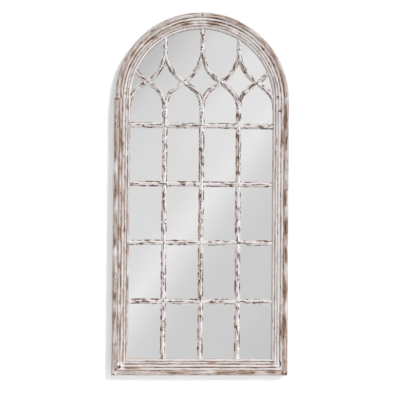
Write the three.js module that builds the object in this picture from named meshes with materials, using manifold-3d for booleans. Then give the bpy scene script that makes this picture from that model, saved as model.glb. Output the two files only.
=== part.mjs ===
// Arched window mirror: a reeded wooden frame with a round head, a lattice of glazing bars with
// interlaced ogee tracery, one mirror sheet behind it, a back board and its hanging hardware.
// Millimetres, +Z up. The front faces -Y, and +X is to the right of someone looking at the mirror.
// While it is drawn, y = 0 is the back face of the frame; the last lines move the whole mirror so
// that its origin is the centre of its lowest edge.

import * as THREE from 'three';
import { mergeVertices } from 'three/addons/utils/BufferGeometryUtils.js';
import Module from 'manifold-3d';

const wasm = await Module();
wasm.setup();

// ---------------------------------------------------------------- driving dimensions

// Frame
const WIDTH = 914;
const HEIGHT = 1894;
const REED_WIDTHS = [27, 15, 16, 13, 11]; // from the outer edge to the sight edge
const REED_CRESTS = [38, 35, 32, 29, 25.5]; // heights above the back face
const REED_VALLEYS = [27, 30, 28, 25.5, 22.5, 19]; // outer edge, the four grooves, sight edge
const REED_FACETS = 4;
const ARCH_FACETS = 24; // in each quarter

// Clearances
const SEAT_GAP = 0.3;
const GLASS_EDGE_GAP = 1.5;
const PANEL_EDGE_GAP = 0.6;
const BORE_GAP = 0.25; // round a screw or dowel, on the radius

// Mirror sheet and back board
const GLASS_THICKNESS = 4;
const GLASS_REBATE = 12; // how far the rebate reaches under the sight edge
const PANEL_THICKNESS = 4;
const PANEL_REBATE = 27;

// Lattice
const BAR_WIDTH = 29;
const BAR_THICKNESS = 14;
const BAR_EDGE = 6; // height of the square edge beside the bead
const BAR_FILLET = 4; // flat between that edge and the bead
const MULLION_PITCH = 193.5;
const GLAZING_BAR_FIRST_Z = 380;
const GLAZING_BAR_TOP_DROP = 136; // top bar, below the springing line
const GLAZING_BAR_COUNT = 4;

// Tracery
const OGEE_WIDTH = 24;
const OGEE_THICKNESS = 13;
const FINIAL_LENGTH = 111; // the middle one, from the ogees' heads to the sight edge
const OGEE_SLOPE = THREE.MathUtils.degToRad(36); // of the straight stretch, above level
const OGEE_LOW_RADIUS = 125;
const OGEE_HIGH_RADIUS = 195;
const OGEE_FOOT = 10; // straight stretch that stands on the mullion
const OGEE_STEPS = 20;

// Dowels
const DOWEL_RADIUS = 5;
const DOWEL_LENGTH = 50;
const DOWEL_INSETS = [20, 44]; // from the outer edge of the frame
const DOWEL_DEPTH = 16; // from the back face

// Screws
const SCREW_RADIUS = 1.75;
const SCREW_HEAD_RADIUS = 3.6;
const SCREW_HEAD_HEIGHT = 2.2;
const SCREW_LENGTH = 15;
const SCREW_POINT = 2;
const PANEL_SCREW_INSET = 63;
const PANEL_SCREWS_SIDE = 4;
const PANEL_SCREWS_FOOT = 2;
const PANEL_SCREWS_ARCH = 4;
const PANEL_SCREW_END = 190; // first screw of a side, above the lowest edge

// D-ring hangers
const HANGER_DROP = 127; // ring's bar, below the springing line
const HANGER_INSET = 29;
const STRAP_WIDTH = 14;
const STRAP_LENGTH = 46;
const STRAP_SHEET = 1.2; // the strap is this sheet folded double
const STRAP_HOLES = [13, 36]; // below the ring's bar
const EYE_FACETS = 14;
const RING_WIRE = 1.75; // radius
const RING_CLEARANCE = 0.25;
const RING_WIDTH = 27; // between the centres of the two sides
const RING_SIDE = 12; // straight part of each side
const RING_FACETS = 8; // round the wire
const RING_STEPS = 16; // along it

// Bumpers
const BUMPER_RADIUS = 11;
const BUMPER_FACE_RADIUS = 9.5;
const BUMPER_RIM = 2; // straight side next to the wood
const STAND_OFF = 8; // back of the frame to the wall
const BUMPER_SIDE_INSET = 127; // from the outer edge of the frame
const BUMPER_FOOT_INSET = 28; // from its lowest edge

// ---------------------------------------------------------------- worked-out dimensions

const OUTER_R = WIDTH / 2;
const SPRING_Z = HEIGHT - OUTER_R;
const FACE_WIDTH = REED_WIDTHS.reduce((sum, width) => sum + width, 0);
const FRAME_DEPTH = Math.max(...REED_CRESTS);
const PANEL_SEAT = PANEL_THICKNESS + SEAT_GAP;
const GLASS_BACK = PANEL_SEAT + SEAT_GAP;
const GLASS_SEAT = GLASS_BACK + GLASS_THICKNESS + SEAT_GAP;
const LATTICE_BACK = GLASS_SEAT;
const RING_AXIS_Y = SEAT_GAP + STRAP_SHEET + RING_CLEARANCE + RING_WIRE;
const RING_BOW = RING_WIDTH / 2;
const RING_REACH = RING_SIDE + RING_BOW;
const RING_LEAN = Math.asin((RING_AXIS_Y - RING_WIRE - SEAT_GAP) / RING_REACH);
const MULLION_XS = [-MULLION_PITCH, 0, MULLION_PITCH];
const HANGER_Z = SPRING_Z - HANGER_DROP;
const BIG = 3 * HEIGHT;

// ---------------------------------------------------------------- solids

function toSolid(geometry) {
  const bare = geometry.clone();
  bare.deleteAttribute('normal');
  bare.deleteAttribute('uv');
  const merged = mergeVertices(bare, 1e-3);
  return new wasm.Manifold(new wasm.Mesh({
    numProp: 3,
    vertProperties: new Float32Array(merged.attributes.position.array),
    triVerts: new Uint32Array(merged.index.array),
  }));
}

function toGeometry(solid) {
  const mesh = solid.getMesh();
  const geometry = new THREE.BufferGeometry();
  geometry.setAttribute('position', new THREE.BufferAttribute(mesh.vertProperties, 3));
  geometry.setIndex(new THREE.BufferAttribute(mesh.triVerts, 1));
  geometry.computeVertexNormals();
  return geometry;
}

const cut = (solid, cutters) => cutters.reduce((left, cutter) => left.subtract(cutter), solid);

function boxSolid(low, high) {
  const size = high.map((value, i) => value - low[i]);
  const box = new THREE.BoxGeometry(...size);
  box.translate(...high.map((value, i) => (value + low[i]) / 2));
  return toSolid(box);
}

// A shape drawn in x and z, made solid from y = back forward to y = front.
function slab(shape, back, front, curveSegments) {
  const geometry = new THREE.ExtrudeGeometry(shape, {
    depth: back - front, bevelEnabled: false, curveSegments,
  });
  geometry.rotateX(Math.PI / 2);
  geometry.translate(0, back, 0);
  return geometry;
}

function polygon(points) {
  return new THREE.Shape(points.map(([x, y]) => new THREE.Vector2(x, y)));
}

// A moulding laid along the axis that `basis` gives third: its first axis takes the distance
// across the moulding and its second the height.
function straight(points, length, basis, origin) {
  const geometry = new THREE.ExtrudeGeometry(polygon(points), { depth: length, bevelEnabled: false });
  const place = new THREE.Matrix4().makeBasis(...basis.map((axis) => new THREE.Vector3(...axis)));
  place.setPosition(...origin);
  geometry.applyMatrix4(place);
  return geometry;
}

// A moulding swept along a path in the x-z plane whose first direction is straight up: heights
// point to -Y, and distances across it point to +X there.
function swept(points, path, steps) {
  const turned = points.map(([across, height]) => [height, across]);
  return new THREE.ExtrudeGeometry(polygon(turned), { steps, extrudePath: path, bevelEnabled: false });
}

// ---------------------------------------------------------------- sections

// One bead from (start, low) to (end, high), bulging to `crest` at its middle.
function bead(start, end, low, high, crest, facets) {
  const points = [];
  for (let i = 1; i <= facets; i += 1) {
    const t = i / facets;
    const chord = THREE.MathUtils.lerp(low, high, t);
    const bulge = (crest - (low + high) / 2) * Math.sin(Math.PI * t) ** 0.7;
    points.push([THREE.MathUtils.lerp(start, end, t), i === facets ? high : chord + bulge]);
  }
  return points;
}

// The frame's section: distance in from the outer edge, and height above the back face.
function frameSection() {
  const points = [[0, 0], [0, REED_VALLEYS[0]]];
  let edge = 0;
  REED_WIDTHS.forEach((width, i) => {
    const [low, high] = [REED_VALLEYS[i], REED_VALLEYS[i + 1]];
    points.push(...bead(edge, edge + width, low, high, REED_CRESTS[i], REED_FACETS));
    edge += width;
  });
  points.push([FACE_WIDTH, GLASS_SEAT], [FACE_WIDTH - GLASS_REBATE, GLASS_SEAT]);
  points.push([FACE_WIDTH - GLASS_REBATE, PANEL_SEAT], [FACE_WIDTH - PANEL_REBATE, PANEL_SEAT]);
  points.push([FACE_WIDTH - PANEL_REBATE, 0]);
  return points;
}

// A glazing bar's section, centred across; `grow` swells it to cut a neighbour clear of it.
function barSection(width, thickness, grow = 0) {
  const half = width / 2 + grow;
  const foot = LATTICE_BACK - grow;
  const edge = LATTICE_BACK + BAR_EDGE + grow;
  const start = -half + BAR_FILLET;
  const crest = LATTICE_BACK + thickness + grow;
  return [[-half, foot], [-half, edge], [start, edge],
    ...bead(start, -start, edge, edge, crest, REED_FACETS), [half, edge], [half, foot]];
}

// ---------------------------------------------------------------- fasteners

const screws = { panel: [], hanger: [] };

// A pan-head screw that points to -Y, with the underside of its head at the origin.
function screwGeometry() {
  const profile = [[0, -SCREW_LENGTH], [SCREW_RADIUS, SCREW_POINT - SCREW_LENGTH], [SCREW_RADIUS, 0],
    [SCREW_HEAD_RADIUS, 0], [SCREW_HEAD_RADIUS * 0.93, SCREW_HEAD_HEIGHT * 0.6],
    [SCREW_HEAD_RADIUS * 0.5, SCREW_HEAD_HEIGHT], [0, SCREW_HEAD_HEIGHT]];
  return new THREE.LatheGeometry(profile.map((p) => new THREE.Vector2(...p)), 8);
}

// The hole for a screw; `seat` is the y of the face that carries its head.
function screwBore({ x, z, seat }) {
  const depth = SCREW_LENGTH + 2 * SEAT_GAP;
  const length = depth + STAND_OFF;
  const bore = new THREE.CylinderGeometry(SCREW_RADIUS + BORE_GAP, SCREW_RADIUS + BORE_GAP, length, 8);
  bore.translate(x, seat + SEAT_GAP - depth + length / 2, z);
  return toSolid(bore);
}

// Every dowel as its middle and its direction in the x-z plane.
function dowelPlaces() {
  const places = [];
  for (const inset of DOWEL_INSETS) {
    const r = OUTER_R - inset;
    const layer = inset === DOWEL_INSETS[0] ? 'outer' : 'inner';
    places.push({ name: `crown_dowel_${layer}`, x: 0, z: SPRING_Z + r, angle: 0, length: DOWEL_LENGTH });
    for (const [side, word] of [[-1, 'left'], [1, 'right']]) {
      places.push({
        name: `shoulder_dowel_${word}_${layer}`, x: side * r, z: SPRING_Z, angle: Math.PI / 2,
        length: DOWEL_LENGTH,
      });
      const corner = inset + DOWEL_RADIUS;
      places.push({
        name: `corner_dowel_${word}_${layer}`, x: side * (OUTER_R - corner), z: corner,
        angle: side * Math.PI / 4, length: corner + DOWEL_RADIUS,
      });
    }
  }
  return places;
}

function dowelGeometry({ x, z, angle, length }, grow = 0) {
  const radius = DOWEL_RADIUS + grow;
  const geometry = new THREE.CylinderGeometry(radius, radius, length + 2 * grow, 12);
  geometry.rotateZ(Math.PI / 2);
  geometry.rotateY(-angle);
  geometry.translate(x, -DOWEL_DEPTH, z);
  return geometry;
}

// Along both sides, the foot and the arch, at one inset from the outer edge.
function placePanelScrews() {
  const r = OUTER_R - PANEL_SCREW_INSET;
  const seat = 0;
  const rise = (SPRING_Z - 2 * PANEL_SCREW_END) / (PANEL_SCREWS_SIDE - 1);
  for (let i = 0; i < PANEL_SCREWS_SIDE; i += 1) {
    for (const side of [-1, 1]) {
      screws.panel.push({ x: side * r, z: PANEL_SCREW_END + i * rise, seat });
    }
  }
  for (let i = 0; i < PANEL_SCREWS_FOOT; i += 1) {
    const x = r * ((2 * (i + 1)) / (PANEL_SCREWS_FOOT + 1) - 1);
    screws.panel.push({ x, z: PANEL_SCREW_INSET, seat });
  }
  for (let i = 0; i < PANEL_SCREWS_ARCH; i += 1) {
    const angle = (Math.PI * (i + 0.5)) / PANEL_SCREWS_ARCH;
    screws.panel.push({ x: r * Math.cos(angle), z: SPRING_Z + r * Math.sin(angle), seat });
  }
}

// ---------------------------------------------------------------- frame

function archSolid(side) {
  const trim = SEAT_GAP / 2 / OUTER_R;
  const arc = new THREE.Curve();
  arc.getPoint = (t, target = new THREE.Vector3()) => {
    const angle = t * (Math.PI / 2 - trim);
    return target.set(OUTER_R * Math.cos(angle), 0, OUTER_R * Math.sin(angle));
  };
  const geometry = swept(frameSection().map(([inset, height]) => [-inset, height]), arc, ARCH_FACETS);
  if (side < 0) geometry.rotateY(-(Math.PI / 2 + trim));
  geometry.translate(0, 0, SPRING_Z);
  return toSolid(geometry);
}

// The waste beyond a mitre, on the side that `keepJamb` doesn't name.
function mitreWaste(side, keepJamb) {
  const back = keepJamb ? SEAT_GAP : -SEAT_GAP;
  const reach = 2 * FACE_WIDTH;
  const foot = [side * (OUTER_R + back + reach), -reach];
  const head = [side * (OUTER_R + back - reach), reach];
  const third = keepJamb ? [side * (OUTER_R - 2 * reach), -reach] : [side * (OUTER_R + 2 * reach), reach];
  return toSolid(slab(polygon([foot, head, third]), BIG, -BIG, 1));
}

function jambSolid(side) {
  const length = SPRING_Z - SEAT_GAP;
  const geometry = side > 0
    ? straight(frameSection(), length, [[-1, 0, 0], [0, -1, 0], [0, 0, 1]], [OUTER_R, 0, 0])
    : straight(frameSection(), length, [[1, 0, 0], [0, -1, 0], [0, 0, -1]], [-OUTER_R, 0, length]);
  return cut(toSolid(geometry), [mitreWaste(side, true)]);
}

function bottomRailSolid() {
  const geometry = straight(frameSection(), WIDTH, [[0, 0, 1], [0, -1, 0], [1, 0, 0]], [-OUTER_R, 0, 0]);
  return cut(toSolid(geometry), [mitreWaste(-1, false), mitreWaste(1, false)]);
}

// The opening's outline, drawn in from the outer edge by `inset`.
function headShape(inset) {
  const r = OUTER_R - inset;
  const shape = new THREE.Shape();
  shape.moveTo(-r, inset);
  shape.lineTo(r, inset);
  shape.absarc(0, SPRING_Z, r, 0, Math.PI, false);
  return shape;
}

function sheetGeometry(inset, back, front) {
  return slab(headShape(inset), back, front, ARCH_FACETS);
}

// ---------------------------------------------------------------- lattice

const barSpan = [SEAT_GAP - OUTER_R, OUTER_R - SEAT_GAP];
const latticeHalf = -(LATTICE_BACK + BAR_THICKNESS / 2);
const behindHalf = boxSolid([-BIG, latticeHalf, -BIG], [BIG, BIG, BIG]);
const beforeHalf = boxSolid([-BIG, -BIG, -BIG], [BIG, latticeHalf, BIG]);
const opening = toSolid(slab(headShape(FACE_WIDTH + SEAT_GAP), BIG, -BIG, ARCH_FACETS));
const glazingBarRise = (SPRING_Z - GLAZING_BAR_TOP_DROP - GLAZING_BAR_FIRST_Z) / (GLAZING_BAR_COUNT - 1);
const glazingBarZs = Array.from({ length: GLAZING_BAR_COUNT },
  (_, i) => GLAZING_BAR_FIRST_Z + i * glazingBarRise);

// How far the ogee's arc begins below the crossing, for a sideways run of `run`.
function ogeeRise(run, radius) {
  const straightRun = run - radius * (1 - Math.sin(OGEE_SLOPE));
  return straightRun * Math.tan(OGEE_SLOPE) + radius * Math.cos(OGEE_SLOPE);
}

const halfBay = MULLION_PITCH / 2;
const footOffset = (BAR_WIDTH - OGEE_WIDTH) / 2;
const ogeeHighZ = HEIGHT - FACE_WIDTH - FINIAL_LENGTH;
const crossingZ = ogeeHighZ - ogeeRise(halfBay, OGEE_HIGH_RADIUS);
const ogeeLowZ = crossingZ - ogeeRise(halfBay - footOffset, OGEE_LOW_RADIUS);
const mullionTop = ogeeLowZ - OGEE_FOOT;

function uprightBar(x, low, high, width, thickness, grow) {
  const section = barSection(width, thickness, grow);
  return toSolid(straight(section, high - low, [[1, 0, 0], [0, -1, 0], [0, 0, -1]], [x, 0, high]));
}

function levelBar(z, grow) {
  const section = barSection(BAR_WIDTH, BAR_THICKNESS, grow);
  const length = barSpan[1] - barSpan[0];
  return toSolid(straight(section, length, [[0, 0, 1], [0, -1, 0], [1, 0, 0]], [barSpan[0], 0, z]));
}

// The ogee's centre line: up from `start`, round to the slope, across the bay and back to upright.
function ogeePath(startX, direction) {
  const x0 = startX + direction * footOffset;
  const endX = startX + direction * MULLION_PITCH;
  const turn = Math.PI / 2 - OGEE_SLOPE;
  const path = new THREE.CurvePath();
  const at = (x, z) => new THREE.Vector3(x, 0, z);
  const arc = (centreX, centreZ, radius, from, to) => {
    const curve = new THREE.Curve();
    curve.getPoint = (t, target = new THREE.Vector3()) => {
      const angle = THREE.MathUtils.lerp(from, to, t);
      return target.set(centreX - direction * radius * Math.cos(angle), 0,
        centreZ + radius * Math.sin(angle));
    };
    return curve;
  };
  const low = arc(x0 + direction * OGEE_LOW_RADIUS, ogeeLowZ, OGEE_LOW_RADIUS, 0, turn);
  const high = arc(endX - direction * OGEE_HIGH_RADIUS, ogeeHighZ, OGEE_HIGH_RADIUS,
    Math.PI + turn, Math.PI);
  path.add(new THREE.LineCurve3(at(x0, mullionTop), at(x0, ogeeLowZ)));
  path.add(low);
  path.add(new THREE.LineCurve3(low.getPoint(1), high.getPoint(0)));
  path.add(high);
  return path;
}

function ogeeSolid(startX, direction, grow = 0) {
  const section = barSection(OGEE_WIDTH, OGEE_THICKNESS, grow);
  return toSolid(swept(section, ogeePath(startX, direction), OGEE_STEPS));
}

// Each bay has two ogees that cross: the one that rises to the right passes in front.
function ogeePair(bay) {
  const left = (bay - 2) * MULLION_PITCH;
  const right = left + MULLION_PITCH;
  const inBay = boxSolid([left + SEAT_GAP / 2, -BIG, 0], [right - SEAT_GAP / 2, BIG, BIG]);
  const trimmed = (solid) => solid.intersect(inBay).intersect(opening);
  const front = ogeeSolid(left, 1).subtract(ogeeSolid(right, -1, SEAT_GAP).intersect(behindHalf));
  const behind = ogeeSolid(right, -1).subtract(ogeeSolid(left, 1, SEAT_GAP).intersect(beforeHalf));
  return { rising: trimmed(front), falling: trimmed(behind) };
}

function mullionSolid(x) {
  const bar = uprightBar(x, FACE_WIDTH + SEAT_GAP, mullionTop - SEAT_GAP, BAR_WIDTH, BAR_THICKNESS, 0);
  return cut(bar, glazingBarZs.map((z) => levelBar(z, SEAT_GAP).intersect(behindHalf)));
}

function glazingBarSolid(z) {
  const uprights = MULLION_XS.map((x) => uprightBar(x, 0, mullionTop, BAR_WIDTH, BAR_THICKNESS, SEAT_GAP));
  return cut(levelBar(z, 0), uprights.map((bar) => bar.intersect(beforeHalf))).intersect(opening);
}

function finialSolid(x) {
  return uprightBar(x, ogeeHighZ + SEAT_GAP, HEIGHT, OGEE_WIDTH, OGEE_THICKNESS, 0).intersect(opening);
}

// ---------------------------------------------------------------- hangers and bumpers

// The folded strap below the ring's bar, drawn from its side: two leaves on the wood and an eye
// round the bar.
function hangerStrap() {
  const eye = RING_WIRE + RING_CLEARANCE + STRAP_SHEET;
  const leafTop = eye - 2 * STRAP_SHEET; // depth of the leaves' upper face below the ring's axis
  const leafEnd = -Math.sqrt(eye * eye - leafTop * leafTop);
  const points = [[-STRAP_LENGTH, -eye], [0, -eye]];
  const sweep = 1.5 * Math.PI + Math.asin(leafTop / eye);
  for (let i = 1; i < EYE_FACETS; i += 1) {
    const angle = -Math.PI / 2 + (sweep * i) / EYE_FACETS;
    points.push([eye * Math.cos(angle), eye * Math.sin(angle)]);
  }
  points.push([leafEnd, -leafTop], [-STRAP_LENGTH, -leafTop]);
  const shape = polygon(points);
  const bore = new THREE.Path();
  bore.absarc(0, 0, RING_WIRE + RING_CLEARANCE, 0, 2 * Math.PI, true);
  shape.holes.push(bore);
  const strap = new THREE.ExtrudeGeometry(shape, {
    depth: STRAP_WIDTH, bevelEnabled: false, curveSegments: 6,
  });
  strap.translate(0, 0, -STRAP_WIDTH / 2);
  const place = new THREE.Matrix4().makeBasis(
    new THREE.Vector3(0, 0, 1), new THREE.Vector3(0, 1, 0), new THREE.Vector3(-1, 0, 0));
  strap.applyMatrix4(place);
  return strap;
}

// The D-ring, its straight bar on the local X axis and its bow up: a bar and a bent wire.
function hangerRing() {
  const bar = new THREE.CylinderGeometry(RING_WIRE, RING_WIRE, RING_WIDTH, RING_FACETS);
  bar.rotateZ(Math.PI / 2);
  const path = new THREE.CurvePath();
  const at = (x, z) => new THREE.Vector3(x, 0, z);
  const bow = new THREE.Curve();
  bow.getPoint = (t, target = new THREE.Vector3()) => {
    const angle = Math.PI * (1 - t);
    return target.set(RING_BOW * Math.cos(angle), 0, RING_SIDE + RING_BOW * Math.sin(angle));
  };
  path.add(new THREE.LineCurve3(at(-RING_BOW, 0), at(-RING_BOW, RING_SIDE)));
  path.add(bow);
  path.add(new THREE.LineCurve3(at(RING_BOW, RING_SIDE), at(RING_BOW, 0)));
  const round = Array.from({ length: RING_FACETS }, (_, i) => {
    const angle = (2 * Math.PI * i) / RING_FACETS;
    return [RING_WIRE * Math.cos(angle), RING_WIRE * Math.sin(angle)];
  });
  const knuckles = [-1, 1].map((side) => {
    const knuckle = new THREE.SphereGeometry(RING_WIRE * 1.05, RING_FACETS, 4);
    knuckle.translate(side * RING_BOW, 0, 0);
    return toSolid(knuckle);
  });
  const wire = toSolid(swept(round, path, RING_STEPS));
  return toGeometry(knuckles.reduce((sum, knuckle) => sum.add(knuckle), wire.add(toSolid(bar))));
}

function bumper() {
  const height = STAND_OFF - SEAT_GAP;
  const profile = [[0, 0], [BUMPER_RADIUS, 0], [BUMPER_RADIUS, BUMPER_RIM], [BUMPER_FACE_RADIUS, height],
    [0, height]];
  return new THREE.LatheGeometry(profile.map((p) => new THREE.Vector2(...p)), 16);
}

// ---------------------------------------------------------------- materials

const paintedWood = () => new THREE.MeshStandardMaterial({ color: 0xd6ccc4, roughness: 0.8, metalness: 0 });
const mirrorGlass = () => new THREE.MeshStandardMaterial({ color: 0xd9dbdc, roughness: 0.1, metalness: 1 });
const fibreboard = () => new THREE.MeshStandardMaterial({ color: 0x8a6a48, roughness: 0.85, metalness: 0 });
const zincSteel = () => new THREE.MeshStandardMaterial({ color: 0xb9bbb8, roughness: 0.4, metalness: 1 });
const beech = () => new THREE.MeshStandardMaterial({ color: 0xcaa878, roughness: 0.7, metalness: 0 });
const blackRubber = () => new THREE.MeshStandardMaterial({ color: 0x1d1d1d, roughness: 0.9, metalness: 0 });

function piece(name, geometry, material) {
  const mesh = new THREE.Mesh(geometry, material);
  mesh.name = name;
  return mesh;
}

// ---------------------------------------------------------------- assembly

function makeHangers() {
  const hangers = new THREE.Group();
  const strapFace = SEAT_GAP + 2 * STRAP_SHEET;
  for (const [side, word] of [[-1, 'left'], [1, 'right']]) {
    const hanger = new THREE.Group();
    const x = side * (OUTER_R - HANGER_INSET);
    hanger.position.set(x, RING_AXIS_Y, HANGER_Z);
    const holes = STRAP_HOLES.map((at) => {
      const bore = new THREE.CylinderGeometry(SCREW_RADIUS + BORE_GAP, SCREW_RADIUS + BORE_GAP, BIG, 8);
      bore.translate(0, 0, -at);
      return toSolid(bore);
    });
    const strap = toGeometry(cut(toSolid(hangerStrap()), holes));
    hanger.add(piece(`hanger_strap_${word}`, strap, zincSteel()));
    const ring = piece(`hanger_ring_${word}`, hangerRing(), zincSteel());
    ring.rotation.x = RING_LEAN;
    hanger.add(ring);
    hangers.add(hanger);
    screws.hanger.push(...STRAP_HOLES.map((at) => ({ x, z: HANGER_Z - at, seat: strapFace })));
    const pad = piece(`bumper_${word}`, bumper(), blackRubber());
    pad.position.set(side * (OUTER_R - BUMPER_SIDE_INSET), SEAT_GAP, BUMPER_FOOT_INSET);
    hangers.add(pad);
  }
  return hangers;
}

function makeFrame() {
  const frame = new THREE.Group();
  const dowels = dowelPlaces();
  const bores = [...screws.panel, ...screws.hanger].map(screwBore);
  bores.push(...dowels.map((dowel) => toSolid(dowelGeometry(dowel, BORE_GAP))));
  const solids = {
    arch_left: archSolid(-1),
    arch_right: archSolid(1),
    jamb_left: jambSolid(-1),
    jamb_right: jambSolid(1),
    bottom_rail: bottomRailSolid(),
  };
  for (const [name, solid] of Object.entries(solids)) {
    frame.add(piece(name, toGeometry(cut(solid, bores)), paintedWood()));
  }
  for (const dowel of dowels) frame.add(piece(dowel.name, dowelGeometry(dowel), beech()));
  return frame;
}

function makeLattice() {
  const lattice = new THREE.Group();
  const words = ['left', 'centre', 'right'];
  MULLION_XS.forEach((x, i) => {
    lattice.add(piece(`mullion_${words[i]}`, toGeometry(mullionSolid(x)), paintedWood()));
    lattice.add(piece(`finial_${words[i]}`, toGeometry(finialSolid(x)), paintedWood()));
  });
  glazingBarZs.forEach((z, i) => {
    lattice.add(piece(`glazing_bar_${i + 1}`, toGeometry(glazingBarSolid(z)), paintedWood()));
  });
  for (let bay = 0; bay <= MULLION_XS.length; bay += 1) {
    const pair = ogeePair(bay);
    lattice.add(piece(`ogee_${bay + 1}_rising`, toGeometry(pair.rising), paintedWood()));
    lattice.add(piece(`ogee_${bay + 1}_falling`, toGeometry(pair.falling), paintedWood()));
  }
  return lattice;
}

function makeBacking() {
  const backing = new THREE.Group();
  const glassInset = FACE_WIDTH - GLASS_REBATE + GLASS_EDGE_GAP;
  const glass = sheetGeometry(glassInset, -GLASS_BACK, -GLASS_BACK - GLASS_THICKNESS);
  backing.add(piece('mirror_glass', glass, mirrorGlass()));
  const panelInset = FACE_WIDTH - PANEL_REBATE + PANEL_EDGE_GAP;
  const board = toSolid(sheetGeometry(panelInset, 0, -PANEL_THICKNESS));
  backing.add(piece('back_panel', toGeometry(cut(board, screws.panel.map(screwBore))), fibreboard()));
  return backing;
}

function makeScrews() {
  const group = new THREE.Group();
  for (const [name, places] of Object.entries(screws)) {
    places.forEach((place, i) => {
      const screw = piece(`${name}_screw_${i + 1}`, screwGeometry(), zincSteel());
      screw.position.set(place.x, place.seat + SEAT_GAP, place.z);
      group.add(screw);
    });
  }
  return group;
}

placePanelScrews();
const hangers = makeHangers();
const mirror = new THREE.Group();
mirror.add(makeFrame(), makeLattice(), makeBacking(), hangers, makeScrews());
mirror.position.y = (FRAME_DEPTH - STAND_OFF) / 2;

export default mirror;
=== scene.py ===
"""The looks of an arched window mirror: a whitewashed wooden frame and lattice on a plain mirror.

Lengths in the measures below are millimetres. A point is written as x to the viewer's right, z up
from the lowest edge, and h out from the back face of the frame towards the viewer.
"""

import math

import bmesh
import bpy
import numpy as np
from mathutils import Matrix, Vector

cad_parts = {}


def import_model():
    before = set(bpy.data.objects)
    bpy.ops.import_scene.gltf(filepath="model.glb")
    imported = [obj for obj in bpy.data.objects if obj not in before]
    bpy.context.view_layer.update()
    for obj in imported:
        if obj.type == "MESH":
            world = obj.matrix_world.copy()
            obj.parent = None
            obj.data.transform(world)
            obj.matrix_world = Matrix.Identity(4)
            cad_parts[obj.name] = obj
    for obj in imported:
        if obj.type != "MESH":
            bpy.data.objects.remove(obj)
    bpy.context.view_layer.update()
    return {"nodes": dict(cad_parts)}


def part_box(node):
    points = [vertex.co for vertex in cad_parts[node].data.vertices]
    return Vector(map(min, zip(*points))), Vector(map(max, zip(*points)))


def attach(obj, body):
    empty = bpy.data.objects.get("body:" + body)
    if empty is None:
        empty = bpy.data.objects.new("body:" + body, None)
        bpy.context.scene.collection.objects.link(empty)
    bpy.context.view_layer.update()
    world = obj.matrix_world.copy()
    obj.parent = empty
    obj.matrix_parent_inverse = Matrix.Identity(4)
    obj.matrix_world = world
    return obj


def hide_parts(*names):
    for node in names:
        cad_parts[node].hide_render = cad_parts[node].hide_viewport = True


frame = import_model()

# ---------------------------------------------------------------- measures of the part

MM = 0.001
BACK_FACE_Y = 15.0  # y of the frame's back face, where h is 0
OUTER_R = 457.0
SPRING_Z = 1437.0
REED_WIDTHS = (27, 15, 16, 13, 11)  # from the outer edge to the sight edge
REED_CRESTS = (38, 35, 32, 29, 25.5)
REED_VALLEYS = (27, 30, 28, 25.5, 22.5, 19)
FACE_WIDTH = sum(REED_WIDTHS)
SEAT_GAP = 0.3
GLASS_SEAT = 8.9
PANEL_SEAT = 4.3
GLASS_REBATE = 12
PANEL_REBATE = 27

BAR_WIDTH, BAR_THICKNESS = 29.0, 14.0
OGEE_WIDTH, OGEE_THICKNESS = 24.0, 13.0
BAR_EDGE = 6.0  # height of the square edge beside the bead
BAR_FILLET = 4.0  # flat between that edge and the bead
MULLION_PITCH = 193.5
MULLIONS = {"left": -MULLION_PITCH, "centre": 0.0, "right": MULLION_PITCH}
GLAZING_BAR_ZS = [380.0 + 307.0 * i for i in range(4)]
OGEE_SLOPE = math.radians(36)
OGEE_LOW_RADIUS = 125.0
OGEE_HIGH_RADIUS = 195.0
OGEE_FOOT = 10.0
FOOT_OFFSET = (BAR_WIDTH - OGEE_WIDTH) / 2
OGEE_HIGH_Z = 1701.0
SIGHT_R = OUTER_R - FACE_WIDTH

RING_AXIS = (428.0, -3.5, 1310.0)  # x to either side, h, z
RING_WIRE = 1.75
RING_WIDTH = 27.0
RING_SIDE = 12.0
RING_BEND = 2.2  # radius between its bar and its sides
RING_OFF_WOOD = -RING_AXIS[1] - RING_WIRE - SEAT_GAP
RING_LEAN = math.asin(RING_OFF_WOOD / (RING_SIDE + RING_WIDTH / 2))  # brings its bow to the wood
STRAP_WIDTH = 14.0
STRAP_LENGTH = 46.0
STRAP_SHEET = 1.2
STRAP_CORNER = 4.0  # radius of its foot's corners
STRAP_ARRIS = 0.3
STRAP_RIM = 0.25  # how far its two side faces are drawn in
RING_CLEARANCE = 0.25
SCREW_HEAD_RADIUS = 3.6
SCREW_HEAD_HEIGHT = 2.2
SCREW_HEAD_EDGE = 0.3  # straight side of the head
SCREW_RADIUS = 1.75
SCREW_LENGTH = 15.0
THREAD_TURNS = 8
THREAD_PITCH = 1.4
THREAD_ROOT = 0.72  # of the screw's radius
RECESS_ARM = 2.1  # from the middle of the head's cross
RECESS_WIDTH = 0.55
RECESS_DEPTH = 1.3
BUMPER_RADIUS = 11.0
BUMPER_FACE_RADIUS = 9.5
BUMPER_RIM = 2.0  # straight side next to the wood
BUMPER_DIMPLE = 6.0  # radius of the shallow hollow in its face
SIDES = {"left": -1, "right": 1}

# ---------------------------------------------------------------- camera


CAMERA_PLACE = (-0.119, -3.5115, 0.839)  # in metres
CAMERA_TURN = (1.845, 1.167, 0.501)  # yaw, pitch and roll in degrees
LENS = 60.4
SENSOR = 36


def new_object(name, data):
    made = bpy.data.objects.new(name, data)
    bpy.context.scene.collection.objects.link(made)
    return made


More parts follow.
